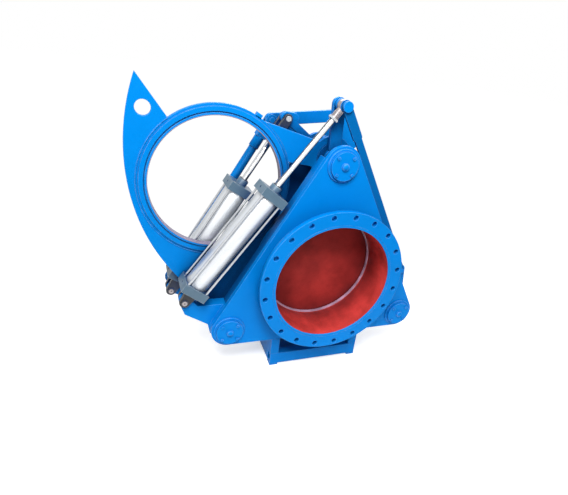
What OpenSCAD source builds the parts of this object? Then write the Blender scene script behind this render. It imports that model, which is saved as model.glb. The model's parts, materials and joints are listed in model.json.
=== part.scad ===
// Sector goggle valve (line blind valve) driven by two pneumatic cylinders.
// Frame: X to the right, Y from the front flange to the rear flange, Z up.
// The origin is the centre of the front flange face, on the bore axis.
// Places in the X-Z plane are written as [x, z] pairs.

/* [Bore and body] */
// Clear bore of the valve
bore_d = 600; // [500:5:640]
// Distance between the two flange faces
face_to_face = 500; // [480:1:560]
// Wall of the two neck pipes
neck_wall = 12; // [8:1:16]
// Radial width of the two seat rings and of the plate's rims
seat_w = 50; // [44:1:60]
// Depth of a seat ring along the bore
seat_depth = 26.7; // [20:0.1:40]
// Depth of the seal ring
seal_depth = 8; // [6:0.5:12]
// Radial width of the seal ring
seal_w = 10; // [6:0.5:16]
// Gap between the seal ring and the plate
seal_gap = 0.3; // [0.2:0.1:1]
// Extra gap between the seat ring and the plate
seat_relief = 0.3; // [0.1:0.1:1]
// Gap left at welded slip joints
weld_gap = 0.1; // [0.05:0.05:0.3]
// Stiffening ribs' thickness
rib_t = 12; // [8:1:20]
// Stiffening ribs' height on the neck
rib_h = 33; // [20:1:38]

/* [Flanges] */
// Radial width of a flange, from the bore to its rim
flange_w = 77.5; // [65:0.5:95]
// Flange thickness
flange_t = 30; // [24:1:40]
// Distance from the flange rim to the bolt circle
bolt_inset = 25; // [22:0.5:30]
// Bolt holes in each flange
bolt_count = 20; // [12:4:28]
// Bolt hole diameter
bolt_d = 26; // [18:1:30]

/* [Yoke plates and screws] */
// Distance from the front yoke plate's front face to the goggle plate's middle
yoke_ahead = 150; // [140:1:160]
// Distance from the goggle plate's middle to the rear yoke plate's rear face
yoke_behind = 181; // [180:1:182]
// Thickness of a yoke plate
yoke_t = 25; // [18:1:30]
// Corner radius of a yoke plate
yoke_corner = 90; // [84:1:100]
// Diameter of the clamping screws
screw_d = 60; // [50:1:62]
// Running clearance of shafts and pins, on the radius
run_gap = 0.06; // [0.02:0.01:0.1]
// Wall of the screw bushes and of the plate's hub bush
bush_wall = 8; // [5:0.5:12]
// Radius of the screw covers
cover_r = 67; // [62:1:76]
// Thickness of the screw covers
cover_t = 20; // [14:1:24]
// Radius of the stub in the middle of a cover
stub_r = 17; // [10:1:22]
// Height of the stub
stub_h = 9; // [4:1:14]
// Bolts on each cover
cover_bolts = 4; // [3:1:6]
// Distance from a cover's rim to its bolts
cover_bolt_inset = 13; // [11:0.5:15]
// Radius of the cover bolts' shanks
cover_bolt_r = 4; // [3:0.5:5]
// Flange radius of the screw nuts in the rear yoke
nut_flange_r = 60; // [54:1:70]
// Flange thickness of the screw nuts
nut_flange_t = 14; // [8:1:20]
// Depth of the skirt along the left edge of the front yoke plate
skirt_d = 50; // [30:1:60]
// Thickness of that skirt
skirt_t = 16; // [8:1:20]
// Thickness of the end nuts
end_nut_t = 24; // [18:1:30]
// Screw end standing out of an end nut
screw_tip = 6; // [3:0.5:10]
// Gap between neighbouring pieces that move
part_gap = 3; // [2:0.5:4]
// Travel of the rear half along the bore when the screws release
release = 5.8; // [4:0.1:8]

/* [Goggle plate] */
// Angle between the two seats of the goggle plate
swing_deg = 77; // [75:0.5:80]
// Gap between the two rims of the goggle plate
rim_gap = 3.4; // [1:0.1:8]
// Thickness of the two rims
rim_t = 35.4; // [30:0.1:40]
// Thickness of the sector plate and the neck arms
plate_t = 22; // [20:1:30]
// Step at the outer edge of the rims
rim_step = 12; // [6:1:20]
// Distance from the seal's outer edge to the relief groove in the rims
groove_in = 1.5; // [1:0.5:3]
// Width of that groove
groove_w = 5; // [3:0.5:8]
// Depth of that groove
groove_d = 4; // [2:0.5:5]
// Gap between the outer arc and the left screw
arc_gap = 8.5; // [6:0.5:16]
// Angle of the lifting tail's tip, seen from the pivot
tail_deg = 160; // [158:0.5:164]
// Diameter of the lifting hole
lift_d = 64; // [56:1:76]
// Distance from the outer arc to the lifting hole's centre
lift_inset = 63; // [54:1:70]
// End of the outer sector, seen from the pivot
sector_end_deg = 298; // [296:0.5:300]
// Direction of the sector's end on the blind's rim
sector_root_deg = -25; // [-28:0.5:-22]
// Direction of the tail's root on the open ring's rim
tail_root_deg = 127; // [124:0.5:130]
// Angle from the tail's tip to the lifting hole
lift_deg = 7.7; // [7.5:0.1:9]
// Reach of the neck arms from the pivot
arm_reach = 350; // [340:1:360]
// Angle of a neck arm outside the line to its seat
arm_deg = 25.4; // [24:0.2:28]
// Half the width of the neck arms at the hub
arm_half = 56; // [44:1:60]
// Half the width of the neck arms at the rims
arm_end_half = 78; // [64:1:82]
// Radius of the disc round the hub
hub_disc_r = 105; // [92:1:120]
// Hub radius of the goggle plate
hub_r = 75; // [64:1:80]
// End of the hub standing out of the swing arm
hub_lip = 8; // [4:1:10]

/* [Swing drive] */
// Length of the swing arm, from the pivot to its pin
swing_arm_r = 271; // [264:0.5:274]
// Direction of the swing arm at rest
swing_arm_deg = 142.6; // [141:0.1:144]
// Thickness of the swing arm
swing_arm_t = 40; // [30:1:44]
// Distance of the swing cylinder behind the plate's middle
swing_back = 87; // [86:0.5:88]
// Place of the swing cylinder's base pin left of the left screw
swing_base_dx = 264; // [260:1:268]
// Place of the swing cylinder's base pin above the left screw
swing_base_dz = 136.5; // [132:0.5:140]
// Barrel length of the swing cylinder
swing_barrel_l = 488; // [460:1:492]
// Radius of the swing pin
swing_pin_r = 13; // [11:1:15]
// Eye radius of the swing arm
swing_eye_r = 28; // [26:1:36]
// Reach of the eye's lobe beside the pin
swing_lobe = 34; // [28:1:38]
// Half the width of the swing arm
swing_arm_half = 18; // [16:1:24]
// Wall of the swing arm's collar round the hub
arm_collar = 12; // [8:1:16]
// Pin ends standing out of forks and yokes
pin_end = 5; // [3:0.5:6]
// Distance from the swing pin to the rod yoke's bridge
yoke_throat = 54; // [52:1:56]
// Thickness of that bridge
yoke_bridge = 30; // [28:1:34]
// Radius of the rod yoke's cheeks
yoke_cheek_r = 20; // [18:1:24]

/* [Clamp drive] */
// Crank radius of the front rocker and the right crank
crank_r = 254; // [244:1:258]
// Direction of the front rocker at rest
crank_deg = 92.5; // [91:0.5:95]
// Horizontal reach of the rear rocker's bar
bar_reach = 254; // [248:1:262]
// Height of the bar's pin above the top screw
bar_rise = 136; // [130:1:142]
// Height of the bar's right end above the top screw
bar_end_dz = 177; // [170:1:184]
// Thickness of rockers and cranks
rocker_t = 24; // [18:1:26]
// Hub radius of rockers and cranks
crank_hub_r = 52; // [46:1:58]
// Half the width of the front rocker
rocker_half = 31; // [28:1:36]
// Pin end radius of the cranks
crank_end_r = 30; // [26:1:34]
// Thickness of the right crank
crank_t = 20; // [16:1:22]
// Half the height of the rear rocker's bar
bar_half = 30; // [28:1:34]
// Place of the bar's end right of the top screw
bar_end_dx = 150; // [140:1:155]
// Place of the rear rocker's lower right corner right of the top screw
bar_low_dx = 212; // [180:1:220]
// Height of that corner above the top screw
bar_low_dz = 34; // [26:1:60]
// Thickness of the right link
link_t = 14; // [10:1:16]
// Half the width of the right link
link_half = 18; // [17:1:20]
// Half the width of the right link's head
head_half = 23; // [21:1:26]
// Length of that head
head_l = 150; // [120:1:180]
// Radius of the left link tube
tube_r = 22; // [18:1:24]
// Thickness of the left link's fork cheeks
fork_t = 12; // [8:1:14]
// Length of a fork, from its pin to the tube
fork_l = 100; // [90:1:110]
// Thickness of a fork's bridge
fork_bridge = 22; // [16:1:26]
// Length of the socket round the tube
socket_l = 60; // [40:1:80]
// Wall of that socket
socket_wall = 4; // [3:0.5:6]
// Radius of the linkage pins
link_pin_r = 14; // [10:1:16]
// Radius of the knob on the clamp pin
knob_r = 24; // [18:1:28]
// Thickness of that knob
knob_t = 12; // [8:1:16]
// Radius of the collars on the clamp pin
collar_r = 27; // [20:1:30]
// Eye radius of the clamp rod's end fitting
eye_r = 26; // [24:1:30]
// Half the thickness of that eye
eye_half = 17.5; // [17.5:0.5:18]
// Length of its shank, from the pin
eye_shank = 68; // [62:1:76]
// Wall of its shank
eye_wall = 3; // [2.5:0.1:3.3]
// Thickness of the lock nut
lock_nut_t = 10; // [8:1:16]
// Distance of the clamp cylinder in front of the plate's middle
clamp_front = 87; // [86:0.5:88]
// Place of the clamp cylinder's base pin left of the left screw
clamp_base_dx = 216; // [212:1:220]
// Place of the clamp cylinder's base pin above the left screw
clamp_base_dz = 167.5; // [164:0.5:172]
// Barrel length of the clamp cylinder
clamp_barrel_l = 535; // [500:1:545]

/* [Cylinders] */
// Bore of both cylinders
cyl_bore = 108; // [96:1:110]
// Wall of the barrels
barrel_wall = 3; // [2:0.5:4]
// Side of the square end caps
cap_side = 130; // [128:0.5:132]
// Thickness of the end caps
cap_t = 44; // [40:1:48]
// Distance from the clamp cylinder's base pin to its lower cap
clevis_l = 54; // [53:0.5:58]
// Extra distance on the swing cylinder, which turns further on its lug
swing_clevis_more = 18; // [16:0.5:20]
// Tie rod radius
tie_r = 5.5; // [4:0.5:6]
// Distance of the tie rods from the axis, sideways
tie_off = 51; // [49.5:0.5:52]
// Thickness of the tie rod nuts, which sit in pockets of the caps
tie_nut_t = 8; // [6:0.5:10]
// Radius of those pockets
tie_pocket_r = 11; // [10.5:0.1:12]
// Piston rod radius
rod_r = 14; // [10:1:17]
// Gland radius
gland_r = 27; // [24:1:32]
// Gland length
gland_l = 26; // [20:1:30]
// Piston length
piston_l = 40; // [30:1:60]
// Stroke left in both cylinders as drawn
stroke_left = 60; // [50:1:80]
// Thread length of the rods in their end fittings
thread_l = 25; // [18:1:26]
// Thickness of each clevis cheek
cheek_t = 18; // [12:1:20]
// Radius of the clevis cheeks and lugs
lug_r = 25; // [22:1:26]
// Radius of the swing cylinder's lug
swing_lug_r = 20; // [18:1:22]
// Thickness of the base lugs
lug_t = 36; // [30:1:38]
// Side gap between a lug and its clevis cheeks
side_gap = 0.8; // [0.4:0.1:1.5]
// Radius of the base pins
base_pin_r = 15; // [10:1:18]
// Height of the base pins' heads
pin_head = 6; // [4:0.5:7]
// Radius of the air ports
port_r = 6.6; // [4:0.1:8]

/* [Cylinder bracket] */
// Drop of the bracket's top edge below the clamp cylinder's base pin
shelf_drop = 36; // [32:1:40]
// Depth of the bracket's top flange
shelf_d = 58; // [50:1:62]
// Thickness of that flange
shelf_t = 12; // [8:1:16]
// Start of that flange right of the base pin
shelf_dx = 66; // [64:1:74]
// Half the side of the square beam
beam_half = 25; // [20:1:28]
// Place of the beam right of the base pin
beam_dx = 64; // [60:1:68]
// Place of the beam below the base pin
beam_dz = 82; // [78:1:86]

/* [Base] */
// Half the width of the base
base_half_w = 256; // [236:1:270]
// Height of the base under the yoke plates
base_h = 173.5; // [150:0.5:220]
// Height of the cross beams
beam_h = 66; // [50:1:80]
// Plate thickness of the base
base_t = 12; // [8:1:16]
// Flange depth of the cross beams
beam_d = 46; // [36:1:60]
// Width of the posts
post_w = 46; // [36:1:60]
// Thickness of the foot pads
foot_t = 10; // [6:1:16]
// Diameter of the holes in the foot pads
foot_hole_d = 18; // [12:1:20]
// Gap under the sliding rear yoke plate
slide_gap = 0.3; // [0.2:0.1:1]

/* [Hidden] */
$fn = 96;
BLUE = "#0b86e6";
RED = "#a8322b";
STEEL = "#c9ccd0";
SLATE = "#66707c";
BLACK = "#24272b";
RUBBER = "#8d9298";
BRONZE = "#9a7a58";

// Directions and points in the X-Z plane
function dir(a) = [cos(a), sin(a)];
function turn(v) = atan2(v[1], v[0]);

// Share of a round's radius at which the straight side of an outline starts
tuck = 0.998;
// Share by which a cutting outline reaches past the edge it cuts
past = 0.2;

bore_r = bore_d / 2;
neck_r = bore_r + neck_wall;
flange_r = bore_r + flange_w;
rim_r = bore_r + seat_w;
mid_y = face_to_face / 2;
rim_y0 = mid_y - rim_t / 2;
rim_y1 = mid_y + rim_t / 2;
plate_y0 = mid_y - plate_t / 2;
plate_y1 = mid_y + plate_t / 2;
seat_end = rim_y0 - seal_gap - seat_relief;
seat_y = seat_end - seat_depth;
yoke_y = mid_y - yoke_ahead;
yoke_y1 = yoke_y + yoke_t;

// The three screws stand on one circle about the bore, and the goggle plate turns on the top one
screw_circle = (rim_r + rim_gap / 2) / sin(swing_deg / 2);
screw_r = screw_d / 2;
bush_r = screw_r + run_gap + bush_wall;
top_deg = 90;
screw_step = 120;
seat_deg = top_deg + 180;
top = screw_circle * dir(top_deg);
left = screw_circle * dir(top_deg + screw_step);
right = screw_circle * dir(top_deg - screw_step);
screws = [top, left, right];
ring_c = top + screw_circle * dir(seat_deg - swing_deg);
arc_r = norm(left - top) - screw_r - arc_gap;

// Depths of the linkage, from front to back
rear_yoke_y1 = mid_y + yoke_behind;
rear_yoke_y0 = rear_yoke_y1 - yoke_t;
link_y0 = yoke_y1 + part_gap;
link_y1 = link_y0 + link_t;
right_crank_y0 = link_y1 + part_gap;
right_crank_y1 = right_crank_y0 + crank_t;
front_rocker_y1 = rim_y0 - part_gap;
front_rocker_y0 = front_rocker_y1 - rocker_t;
rear_rocker_y0 = rear_yoke_y1 + release + part_gap;
rear_rocker_y1 = rear_rocker_y0 + rocker_t;
rear_link_y = (rear_rocker_y0 + rear_rocker_y1) / 2;
clamp_y = mid_y - clamp_front;
swing_y = mid_y + swing_back;
hub_y1 = swing_y + swing_arm_t / 2 + hub_lip;
end_nut_y = rear_rocker_y1 + end_nut_t;
fork_out = rocker_t / 2 + side_gap + fork_t;
yoke_in = swing_arm_t / 2 + side_gap;
yoke_out = yoke_in + cheek_t;

// Pins of the linkage
clamp_pin = top + crank_r * dir(crank_deg);
right_pin = right + crank_r * dir(crank_deg);
bar_pin = top + [-bar_reach, bar_rise];
left_pin = left + [-bar_reach, bar_rise];
swing_pin_at = top + swing_arm_r * dir(swing_arm_deg);
clamp_base = left + [-clamp_base_dx, clamp_base_dz];
swing_base = left + [-swing_base_dx, swing_base_dz];
clamp_l = norm(clamp_pin - clamp_base);
swing_l = norm(swing_pin_at - swing_base);
clamp_deg = turn(clamp_pin - clamp_base);
swing_cyl_deg = turn(swing_pin_at - swing_base);
link_deg = turn(right - top);
tube_deg = turn(left - top);
link_l = norm(right - top);

// Lengths along a cylinder, from its base pin
cap_lo = clevis_l;
barrel_lo = cap_lo + cap_t;
barrel_r = cyl_bore / 2 + barrel_wall;
cheek_y = lug_t / 2 + side_gap;

// Bracket of the cylinders: its beam and the corners of its plate, from the pin round to the top edge
beam_c = clamp_base + [beam_dx, -beam_dz];
shelf_z = clamp_base[1] - shelf_drop;
bracket_corners = [
    clamp_base + lug_r * tuck * dir(20), clamp_base + lug_r * tuck * dir(200), clamp_base + [2, -78],
    left + [-101, 18], left + [-88, -38], left + [-56, -48], [left[0] + 3, shelf_z],
    clamp_base + [shelf_dx, -shelf_drop]
];

// Base heights
base_top = left[1] - yoke_corner;
base_bot = base_top - base_h;
beam_z0 = base_bot + foot_t;
beam_z1 = beam_z0 + beam_h;
base_y1 = rear_yoke_y1 + release + part_gap;

// Shared shapes

// Extrudes an outline drawn as [x, z] from depth y0 to depth y1
module slab(y0, y1) {
    translate([0, y1, 0])
        rotate([90, 0, 0])
            linear_extrude(y1 - y0)
                children();
}

// Round bar along Y at the point p
module bar_y(p, r, y0, y1) {
    translate([p[0], y1, p[1]])
        rotate([90, 0, 0])
            cylinder(r = r, h = y1 - y0);
}

// Outline of a strap: two round ends, and sides that start a hair inside the rounds to cross them cleanly
module strap(p, rp, q, rq) {
    a = turn(q - p);
    b = acos((rp - rq) / norm(q - p));
    up = tuck * dir(a + b);
    down = tuck * dir(a - b);
    translate(p) circle(r = rp);
    translate(q) circle(r = rq);
    polygon([p + rp * up, p + rp * down, q + rq * down, q + rq * up]);
}

// Rounded triangle through the three screws
module yoke_outline() {
    for (p = screws)
        translate(p) circle(r = yoke_corner);
    polygon([for (i = [0 : 2], a = [30, 150]) screws[i] + yoke_corner * tuck * dir(a + 120 * i)]);
}

// Hexagon nut on the end of a screw
module end_nut(p) {
    across = screw_d * 1.5;
    slab(rear_rocker_y1, end_nut_y)
        translate(p)
            difference() {
                rotate(30) circle(d = across / cos(30), $fn = 6);
                circle(r = screw_r + weld_gap);
            }
}

// Plate ring about the bore axis
module bore_ring(r_in, r_out, y0, y1) {
    difference() {
        bar_y([0, 0], r_out, y0, y1);
        bar_y([0, 0], r_in, y0 - 1, y1 + 1);
    }
}

// Body halves

// One flange with its bolt holes, drawn for the front half
module flange() {
    difference() {
        bore_ring(neck_r + weld_gap, flange_r, 0, flange_t);
        for (i = [0 : bolt_count - 1])
            bar_y((flange_r - bolt_inset) * dir((i + 0.5) * 360 / bolt_count), bolt_d / 2, -1, flange_t + 1);
    }
}

module neck() {
    bore_ring(bore_r, neck_r, 0, seat_y);
}

module yoke_plate(y0) {
    slab(y0, y0 + yoke_t)
        difference() {
            yoke_outline();
            circle(r = neck_r + weld_gap);
            for (p = screws)
                translate(p) circle(r = bush_r + weld_gap);
        }
}

module seat_ring() {
    bore_ring(bore_r, rim_r, seat_y, rim_y0 - seal_gap - seal_depth);
    bore_ring(bore_r + seal_w + weld_gap, rim_r, rim_y0 - seal_gap - seal_depth, seat_end);
}

module seal_ring() {
    bore_ring(bore_r, bore_r + seal_w, rim_y0 - seal_gap - seal_depth, rim_y0 - seal_gap);
}

module ribs(angles, y0, y1) {
    for (a = angles)
        rotate([0, -a, 0])
            translate([neck_r + weld_gap, y0, -rib_t / 2])
                cube([rib_h, y1 - y0, rib_t]);
}

// Turns the front half's shapes round to the rear half
module mirrored() {
    translate([0, face_to_face, 0])
        mirror([0, 1, 0])
            children();
}

module front_flange() { color(BLUE) flange(); }
module front_neck() { color(RED) neck(); }
module front_yoke_plate() { color(BLUE) yoke_plate(yoke_y); }
module front_seat_ring() { color(RED) seat_ring(); }
module front_seal() { color(RUBBER) seal_ring(); }
// The place facing the right link stays free
module front_ribs() {
    color(BLUE) {
        ribs([90, 150, 210, 270, 330], yoke_y1, seat_y);
        skirt();
    }
}

// Bar behind the left edge of the front yoke plate, from the bracket to the top corner
module skirt() {
    x0 = yoke_corner + skirt_t * 2;
    along(left, turn(top - left), yoke_y1)
        translate([x0, 0, yoke_corner - skirt_t])
            cube([norm(top - left) - skirt_t - x0, skirt_d, skirt_t]);
}

module rear_flange() { color(BLUE) mirrored() flange(); }
module rear_neck() { color(RED) mirrored() neck(); }
module rear_yoke_plate() { color(BLUE) yoke_plate(rear_yoke_y0); }
module rear_seat_ring() { color(RED) mirrored() seat_ring(); }
module rear_seal() { color(RUBBER) mirrored() seal_ring(); }
module rear_ribs() { color(BLUE) ribs([30 : 60 : 330], face_to_face - seat_y, rear_yoke_y0); }

module screw_covers() {
    color(BLUE)
        for (p = screws)
            difference() {
                union() {
                    bar_y(p, cover_r, yoke_y - cover_t, yoke_y);
                    bar_y(p, stub_r, yoke_y - cover_t - stub_h, yoke_y - cover_t);
                }
                bar_y(p, screw_r + part_gap, yoke_y - cover_t / 2, yoke_y + 1);
                cover_bolt_places(p)
                    bar_y([0, 0], cover_bolt_r + weld_gap, yoke_y - cover_t - 1, yoke_y + 1);
            }
}

module cover_bolt_places(p) {
    for (i = [0 : cover_bolts - 1]) {
        q = p + (cover_r - cover_bolt_inset) * dir((i + 0.5) * 360 / cover_bolts);
        translate([q[0], 0, q[1]])
            children();
    }
}

module cover_bolts_set() {
    head_y = yoke_y - cover_t;
    color(STEEL)
        for (p = screws)
            cover_bolt_places(p) {
                bar_y([0, 0], cover_bolt_r, head_y, yoke_y);
                slab(head_y - cover_bolt_r * 1.5, head_y) circle(r = cover_bolt_r * 2, $fn = 6);
            }
}

module screw_bushes() {
    color(BRONZE)
        for (p = screws)
            difference() {
                bar_y(p, bush_r, yoke_y, yoke_y1);
                bar_y(p, screw_r + run_gap, yoke_y - 1, yoke_y1 + 1);
            }
}

module screw_nuts() {
    color(BRONZE)
        for (p = screws)
            difference() {
                union() {
                    bar_y(p, bush_r, rear_yoke_y0, rear_yoke_y1);
                    bar_y(p, nut_flange_r, rear_yoke_y0 - nut_flange_t, rear_yoke_y0);
                }
                bar_y(p, screw_r + run_gap, rear_yoke_y0 - nut_flange_t - 1, rear_yoke_y1 + 1);
            }
}

// Bracket that carries both cylinders

// Plate with the clamp cylinder's lug, a block to the back of the yoke plate and a top flange
module bracket_plate() {
    y0 = clamp_y - lug_t / 2;
    x0 = clamp_base[0] + shelf_dx;
    color(BLUE) {
        slab(y0, clamp_y + lug_t / 2) {
            translate(clamp_base) circle(r = lug_r);
            polygon(bracket_corners);
        }
        slab(yoke_y1, y0 + 1)
            intersection() {
                yoke_outline();
                polygon(bracket_corners);
            }
        translate([x0, y0, shelf_z - shelf_t])
            cube([left[0] - shelf_t - x0, shelf_d, shelf_t]);
    }
}

// Square beam and the swing cylinder's lug
module cylinder_bracket() {
    y0 = clamp_y + lug_t / 2;
    color(BLUE) {
        translate([beam_c[0] - beam_half, y0, beam_c[1] - beam_half])
            cube([beam_half * 2, swing_y + lug_t / 2 - y0, beam_half * 2]);
        slab(swing_y - lug_t / 2, swing_y + lug_t / 2)
            strap(swing_base, swing_lug_r, beam_c, swing_lug_r);
    }
}

// Base

module beam_section() {
    square([base_t, beam_h]);
    square([beam_d, base_t]);
    translate([0, beam_h - base_t]) square([beam_d, base_t]);
}

module base_beams() {
    color(BLUE) {
        cross_beam();
        translate([0, base_y1 + yoke_y, 0]) mirror([0, 1, 0]) cross_beam();
    }
}

module cross_beam() {
    translate([-base_half_w, yoke_y, beam_z0])
        rotate([90, 0, 90])
            linear_extrude(base_half_w * 2)
                beam_section();
}

// Front posts carry the front yoke plate, and the rear one slides on the rear posts
module base_posts() {
    color(BLUE)
        for (s = [-1, 1]) {
            post(s, yoke_y, base_top);
            post(s, base_y1 - yoke_t, base_top - slide_gap);
        }
}

module post(s, y, z1) {
    translate([s > 0 ? base_half_w - post_w : -base_half_w, y, beam_z1])
        cube([post_w, yoke_t, z1 - beam_z1]);
}

// Two side panels and a bottom plate between the beams
module base_panels() {
    inner = base_half_w - base_t;
    y0 = yoke_y + beam_d;
    color(BLUE) {
        for (s = [-1, 1])
            translate([s > 0 ? base_half_w - base_t : -base_half_w, yoke_y1, 0])
                side_panel();
        translate([-inner, y0, beam_z0])
            cube([inner * 2, base_y1 - beam_d - y0, base_t]);
    }
}

module side_panel() {
    depth = base_y1 - yoke_t - yoke_y1;
    inset = beam_d - yoke_t;
    translate([0, 0, beam_z1]) cube([base_t, depth, base_top - slide_gap * 2 - beam_z1]);
    translate([0, inset, beam_z0]) cube([base_t, depth - 2 * inset, beam_z1 - beam_z0]);
}

module foot_pads() {
    color(BLUE)
        for (s = [-1, 1], y = [yoke_y, base_y1 - beam_d])
            translate([s > 0 ? base_half_w - post_w : -base_half_w, y, base_bot])
                difference() {
                    cube([post_w, beam_d, foot_t]);
                    translate([post_w / 2, beam_d / 2, -1]) cylinder(d = foot_hole_d, h = foot_t + 2);
                }
}

// Goggle plate

module rim_profile(r_in) {
    difference() {
        union() {
            translate([r_in, rim_y0]) square([rim_r - rim_step - r_in, rim_t]);
            translate([rim_r - rim_step - 1, plate_y0]) square([rim_step + 1, plate_t]);
        }
        for (y = [rim_y0 - 1, rim_y1 - groove_d])
            translate([bore_r + seal_w + groove_in, y]) square([groove_w, groove_d + 1]);
    }
}

// Turns a [radius, depth] profile about the Y axis through the point p
module lathe_y(p) {
    translate([p[0], 0, p[1]])
        rotate([-90, 0, 0])
            rotate_extrude()
                children();
}

module open_ring() { color(BLUE) lathe_y(ring_c) rim_profile(bore_r); }

module blind_disc() { color(RED) lathe_y([0, 0]) rim_profile(0); }

module rim_holes() {
    for (c = [ring_c, [0, 0]])
        translate(c) circle(r = rim_r + weld_gap);
}

// Outer sector with the lifting tail
module tail_sector() {
    steps = 8;
    step = (sector_end_deg - tail_deg) / steps;
    tail_root = ring_c + rim_r * dir(tail_root_deg);
    tail_tip = top + arc_r * dir(tail_deg);
    end_root = rim_r * dir(sector_root_deg);
    end_tip = top + arc_r * dir(sector_end_deg);
    wedge = concat(
        [ring_c, tail_root, tail_tip + (tail_tip - tail_root) * past],
        [for (i = [1 : steps - 1]) top + arc_r * (1 + past) * dir(tail_deg + i * step)],
        [end_tip + (end_tip - end_root) * past, end_root, [0, 0]]
    );
    color(BLUE)
        slab(plate_y0, plate_y1)
            difference() {
                intersection() {
                    translate(top) circle(r = arc_r, $fn = 180);
                    polygon(wedge);
                }
                rim_holes();
                translate(top + (arc_r - lift_inset) * dir(tail_deg + lift_deg)) circle(d = lift_d);
            }
}

// Two arms and a disc round the hub, cut clear of both rims and the hub
module neck_arms() {
    color(BLUE)
        slab(plate_y0, plate_y1)
            difference() {
                union() {
                    for (a = [seat_deg - swing_deg - arm_deg, seat_deg + arm_deg])
                        strap(top, arm_half, top + arm_reach * dir(a), arm_end_half);
                    translate(top) circle(r = hub_disc_r);
                }
                rim_holes();
                translate(top) circle(r = hub_r + weld_gap);
            }
}

module plate_hub() {
    color(BLUE)
        difference() {
            bar_y(top, hub_r, rim_y0, hub_y1);
            bar_y(top, bush_r + weld_gap, rim_y0 - 1, hub_y1 + 1);
        }
}

module hub_bush() {
    color(BRONZE)
        difference() {
            bar_y(top, bush_r, rim_y0, hub_y1);
            bar_y(top, screw_r + run_gap, rim_y0 - 1, hub_y1 + 1);
        }
}

module swing_arm() {
    color(BLUE)
        slab(swing_y - swing_arm_t / 2, swing_y + swing_arm_t / 2)
            difference() {
                union() {
                    strap(top, swing_arm_half, swing_pin_at, swing_arm_half);
                    translate(top) circle(r = hub_r + arm_collar);
                    strap(swing_pin_at, swing_eye_r, swing_pin_at + [swing_lobe, 0], swing_eye_r * 0.9);
                }
                translate(top) circle(r = hub_r + weld_gap);
                translate(swing_pin_at) circle(r = swing_pin_r + weld_gap);
            }
}

module swing_pin() {
    color(STEEL) bar_y(swing_pin_at, swing_pin_r, swing_y - yoke_out - pin_end, swing_y + yoke_out + pin_end);
}

// Screws, rockers and cranks

module screw(p, y1) {
    color(STEEL) bar_y(p, screw_r, yoke_y - cover_t / 2 + part_gap, y1);
}

module top_screw() { screw(top, end_nut_y + screw_tip); }
module left_screw() { screw(left, end_nut_y + screw_tip); }
module right_screw() { screw(right, rear_rocker_y1); }

module front_rocker() {
    color(BLUE)
        slab(front_rocker_y0, front_rocker_y1)
            difference() {
                union() {
                    strap(top, rocker_half, clamp_pin, rocker_half);
                    translate(top) circle(r = crank_hub_r);
                }
                translate(top) circle(r = screw_r + weld_gap);
                translate(clamp_pin) circle(r = link_pin_r + weld_gap);
            }
}

module rear_rocker() {
    bar_end = top + [bar_end_dx, bar_end_dz];
    bar_low = top + [bar_low_dx, bar_low_dz];
    color(BLUE)
        slab(rear_rocker_y0, rear_rocker_y1)
            difference() {
                union() {
                    strap(bar_pin, bar_half, bar_end, bar_half);
                    strap(top, crank_hub_r, bar_end, bar_half);
                    strap(top, crank_hub_r, bar_low, bar_half);
                    strap(bar_low, bar_half, bar_end, bar_half);
                    polygon([top, bar_low, bar_end]);
                }
                translate(top) circle(r = screw_r + weld_gap);
                translate(bar_pin) circle(r = link_pin_r + weld_gap);
            }
}

module left_crank() {
    color(BLUE)
        slab(rear_rocker_y0, rear_rocker_y1)
            difference() {
                strap(left, crank_hub_r, left_pin, crank_end_r);
                translate(left) circle(r = screw_r + weld_gap);
                translate(left_pin) circle(r = link_pin_r + weld_gap);
            }
}

module right_crank() {
    color(BLUE)
        slab(right_crank_y0, right_crank_y1)
            difference() {
                strap(right, crank_hub_r, right_pin, crank_end_r);
                translate(right) circle(r = screw_r + weld_gap);
                translate(right_pin) circle(r = link_pin_r + weld_gap);
            }
}

// Clamp pin with its knob in front of the link and its collars beside the rod's eye, and the bar's pin
module rocker_pins() {
    knob_y = link_y0 - side_gap;
    color(BLUE) {
        bar_y(clamp_pin, link_pin_r, knob_y, front_rocker_y1);
        bar_y(clamp_pin, knob_r, knob_y - knob_t, knob_y);
        bar_y(clamp_pin, collar_r, link_y1 + side_gap, clamp_y - eye_half - side_gap);
        bar_y(clamp_pin, collar_r, clamp_y + eye_half + side_gap, front_rocker_y0);
        fork_pin(bar_pin);
    }
}

module fork_pin(p) {
    bar_y(p, link_pin_r, rear_link_y - fork_out - pin_end, rear_link_y + fork_out + pin_end);
}

module left_crank_pin() { color(STEEL) fork_pin(left_pin); }

module right_crank_pin() {
    color(STEEL) bar_y(right_pin, link_pin_r, link_y0 - part_gap / 2, right_crank_y1);
}

module top_end_nut() { color(STEEL) end_nut(top); }
module left_end_nut() { color(STEEL) end_nut(left); }

// Links

module right_link() {
    color(BLUE)
        slab(link_y0, link_y1)
            difference() {
                union() {
                    strap(clamp_pin, link_half, right_pin, link_half);
                    strap(clamp_pin, head_half, clamp_pin + head_l * dir(link_deg), head_half);
                }
                for (p = [clamp_pin, right_pin])
                    translate(p) circle(r = link_pin_r + run_gap);
            }
}

// Local frame of a rod: its X axis runs from the point p in the direction a, at depth y
module along(p, a, y) {
    translate([p[0], y, p[1]])
        rotate([0, -a, 0])
            children();
}

module rod_x(r, x0, x1) {
    translate([x0, 0, 0])
        rotate([0, 90, 0])
            cylinder(r = r, h = x1 - x0);
}

module left_link_tube() {
    color(BLUE)
        along(bar_pin, tube_deg, rear_link_y)
            rod_x(tube_r, fork_l, link_l - fork_l);
}

// A fork at each end: two cheeks, a bridge and a socket round the tube
module left_link_forks() {
    color(BLUE) {
        along(bar_pin, tube_deg, rear_link_y) link_fork();
        along(left_pin, tube_deg + 180, rear_link_y) link_fork();
    }
}

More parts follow.
